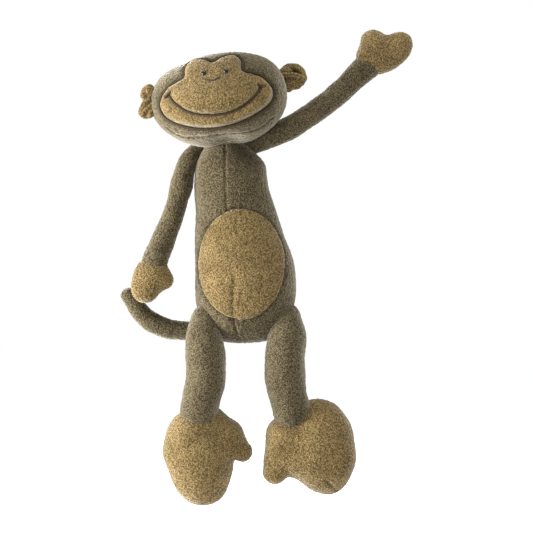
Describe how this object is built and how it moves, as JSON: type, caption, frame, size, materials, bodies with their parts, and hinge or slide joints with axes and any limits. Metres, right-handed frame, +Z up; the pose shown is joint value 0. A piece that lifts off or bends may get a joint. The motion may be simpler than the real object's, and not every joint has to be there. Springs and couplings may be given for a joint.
{
  "type": "stuffed monkey",
  "caption": "Long-limbed fleece monkey with a wide smiling face, a tan belly patch, mitten hands and feet and a thin tail, soft-jointed throughout.",
  "frame": {"origin": "middle of the flat seat under the body", "axes": "+Z up through the head, +Y towards the back, +X to the viewer's right when the face is looked at"},
  "size_m": [0.2874, 0.1175, 0.4722],
  "materials": {
    "brown_fleece": "matte",
    "tan_fleece": "matte",
    "thread": "satin",
    "stuffing": "matte",
    "bead": "gloss"
  },
  "bodies": {
    "torso": {"torso_front_left": "brown_fleece", "torso_front_right": "brown_fleece", "torso_back": "brown_fleece", "torso_stuffing": "stuffing", "belly_patch": "tan_fleece", "belly_stitching": "thread"},
    "neck": {"neck_stub": "brown_fleece"},
    "head": {"head_crown": "brown_fleece", "head_throat": "brown_fleece", "head_stuffing": "stuffing", "face_patch": "tan_fleece", "face_outline": "thread", "smile": "thread", "nose": "thread", "eye_left": "bead", "eye_right": "bead"},
    "left_ear": {"ear_left": "tan_fleece"},
    "right_ear": {"ear_right": "tan_fleece"},
    "tail_root": {"tail_wad": "stuffing"},
    "tail_base": {"tail_base": "brown_fleece", "tail_base_stuffing": "stuffing"},
    "tail_middle": {"tail_middle": "brown_fleece", "tail_middle_stuffing": "stuffing"},
    "tail_tip": {"tail_tip": "brown_fleece", "tail_tip_stuffing": "stuffing"},
    "left_shoulder": {"left_shoulder_wad": "stuffing"},
    "left_upper_arm": {"left_upper_arm": "brown_fleece", "left_upper_arm_stuffing": "stuffing"},
    "left_forearm": {"left_forearm": "brown_fleece", "left_forearm_stuffing": "stuffing"},
    "left_hand": {"left_hand": "tan_fleece", "left_hand_stuffing": "stuffing"},
    "left_hip": {"left_hip_wad": "stuffing"},
    "left_thigh": {"left_thigh": "brown_fleece", "left_thigh_stuffing": "stuffing"},
    "left_shin": {"left_shin": "brown_fleece", "left_shin_stuffing": "stuffing"},
    "left_foot": {"left_foot": "tan_fleece", "left_foot_stuffing": "stuffing"},
    "right_shoulder": {"right_shoulder_wad": "stuffing"},
    "right_upper_arm": {"right_upper_arm": "brown_fleece", "right_upper_arm_stuffing": "stuffing"},
    "right_forearm": {"right_forearm": "brown_fleece", "right_forearm_stuffing": "stuffing"},
    "right_hand": {"right_hand": "tan_fleece", "right_hand_stuffing": "stuffing"},
    "right_hip": {"right_hip_wad": "stuffing"},
    "right_thigh": {"right_thigh": "brown_fleece", "right_thigh_stuffing": "stuffing"},
    "right_shin": {"right_shin": "brown_fleece", "right_shin_stuffing": "stuffing"},
    "right_foot": {"right_foot": "tan_fleece", "right_foot_stuffing": "stuffing"}
  },
  "joints": [
    {"name": "neck_turn", "type": "hinge", "parent": "torso", "child": "neck", "pos_m": [-0.018, -0.003, 0.193], "axis": [0, 0, 1], "range_deg": [-35, 35]},
    {"name": "head_nod", "type": "hinge", "parent": "neck", "child": "head", "pos_m": [-0.018, -0.003, 0.193], "axis": [1, 0, 0], "range_deg": [-20, 20]},
    {"name": "left_ear_flop", "type": "hinge", "parent": "head", "child": "left_ear", "pos_m": [-0.08702, -0.00114, 0.24008], "axis": [-0.06, 0.2064, 0.9766], "range_deg": [-20, 20]},
    {"name": "right_ear_flop", "type": "hinge", "parent": "head", "child": "right_ear", "pos_m": [0.04612, -0.01576, 0.26057], "axis": [-0.06, 0.2064, 0.9766], "range_deg": [-20, 20]},
    {"name": "left_shoulder_swing", "type": "hinge", "parent": "torso", "child": "left_shoulder", "pos_m": [-0.0545, 0, 0.184], "axis": [-0.9578, 0, 0.2873], "range_deg": [-8, 90]},
    {"name": "left_shoulder_raise", "type": "hinge", "parent": "left_shoulder", "child": "left_upper_arm", "pos_m": [-0.0545, 0, 0.184], "axis": [0, 1, 0], "range_deg": [0, 80]},
    {"name": "left_elbow", "type": "hinge", "parent": "left_upper_arm", "child": "left_forearm", "pos_m": [-0.0725, -0.003, 0.124], "axis": [-0.9595, 0, 0.2816], "range_deg": [-15, 55]},
    {"name": "left_wrist", "type": "hinge", "parent": "left_forearm", "child": "left_hand", "pos_m": [-0.086, -0.008, 0.078], "axis": [-0.9595, 0, 0.2816], "range_deg": [-30, 30]},
    {"name": "right_shoulder_raise", "type": "hinge", "parent": "torso", "child": "right_shoulder", "pos_m": [0.0215, 0.009, 0.186], "axis": [0, -1, 0], "range_deg": [-70, 4]},
    {"name": "right_shoulder_swing", "type": "hinge", "parent": "right_shoulder", "child": "right_upper_arm", "pos_m": [0.0215, 0.009, 0.186], "axis": [-0.6565, 0, 0.7544], "range_deg": [-60, 25]},
    {"name": "right_elbow", "type": "hinge", "parent": "right_upper_arm", "child": "right_forearm", "pos_m": [0.087, 0.016, 0.243], "axis": [0, -1, 0], "range_deg": [-45, 45]},
    {"name": "right_wrist", "type": "hinge", "parent": "right_forearm", "child": "right_hand", "pos_m": [0.1275, 0.014, 0.2785], "axis": [0, -1, 0], "range_deg": [-35, 35]},
    {"name": "left_hip_swing", "type": "hinge", "parent": "torso", "child": "left_hip", "pos_m": [-0.0355, -0.024, 0.008], "axis": [-1, 0, 0], "range_deg": [-15, 60]},
    {"name": "left_hip_splay", "type": "hinge", "parent": "left_hip", "child": "left_thigh", "pos_m": [-0.0355, -0.024, 0.008], "axis": [0, 1, 0], "range_deg": [0, 30]},
    {"name": "left_knee", "type": "hinge", "parent": "left_thigh", "child": "left_shin", "pos_m": [-0.0345, -0.025, -0.031], "axis": [1, 0, 0], "range_deg": [-10, 45]},
    {"name": "left_ankle", "type": "hinge", "parent": "left_shin", "child": "left_foot", "pos_m": [-0.041, -0.022, -0.066], "axis": [1, 0, 0], "range_deg": [-20, 20]},
    {"name": "right_hip_swing", "type": "hinge", "parent": "torso", "child": "right_hip", "pos_m": [0.0445, -0.024, 0.008], "axis": [-1, 0, 0], "range_deg": [-15, 60]},
    {"name": "right_hip_splay", "type": "hinge", "parent": "right_hip", "child": "right_thigh", "pos_m": [0.0445, -0.024, 0.008], "axis": [0, -1, 0], "range_deg": [0, 30]},
    {"name": "right_knee", "type": "hinge", "parent": "right_thigh", "child": "right_shin", "pos_m": [0.0435, -0.025, -0.031], "axis": [1, 0, 0], "range_deg": [-10, 45]},
    {"name": "right_ankle", "type": "hinge", "parent": "right_shin", "child": "right_foot", "pos_m": [0.05, -0.022, -0.066], "axis": [1, 0, 0], "range_deg": [-20, 20]},
    {"name": "tail_swing", "type": "hinge", "parent": "torso", "child": "tail_root", "pos_m": [0.002, 0.0415, 0.017], "axis": [0, 0, -1], "range_deg": [0, 60]},
    {"name": "tail_lift", "type": "hinge", "parent": "tail_root", "child": "tail_base", "pos_m": [0.002, 0.0415, 0.017], "axis": [0, 1, 0], "range_deg": [-30, 15]},
    {"name": "tail_bend", "type": "hinge", "parent": "tail_base", "child": "tail_middle", "pos_m": [-0.054, 0.042, 0.0105], "axis": [0, 1, 0], "range_deg": [-30, 30]},
    {"name": "tail_tip_bend", "type": "hinge", "parent": "tail_middle", "child": "tail_tip", "pos_m": [-0.091, 0.04, 0.019], "axis": [0, 1, 0], "range_deg": [-30, 30]}
  ]
}
